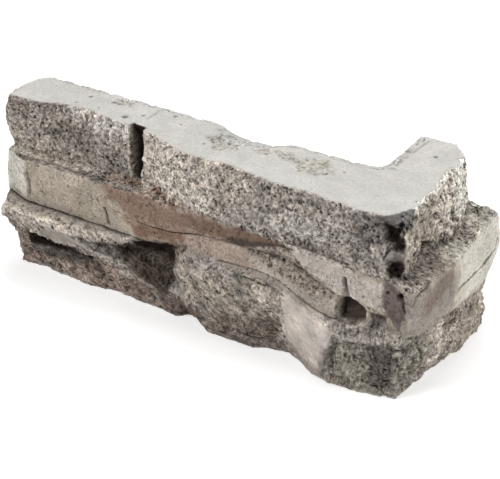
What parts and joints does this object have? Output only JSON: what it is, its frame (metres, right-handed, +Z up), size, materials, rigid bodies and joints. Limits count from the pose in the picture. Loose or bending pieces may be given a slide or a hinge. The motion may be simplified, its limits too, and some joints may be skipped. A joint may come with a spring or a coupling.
{
  "type": "stone cladding corner",
  "caption": "Cast ledge-stone cladding corner with a long leg, a short return, three rough broken courses and a flat back, top and bed.",
  "frame": {"origin": "middle of the bounding box, on the flat bed", "axes": "+Z up as the stone is laid; the long leg runs along -X from the outer corner with its broken face to -Y, and the return runs along +Y with its broken face to +X"},
  "size_m": [0.2624, 0.0988, 0.1],
  "materials": {
    "cast_stone": "matt, rough and pitted"
  },
  "bodies": {
    "root": {"corner_stone": "cast_stone"}
  },
  "joints": []
}
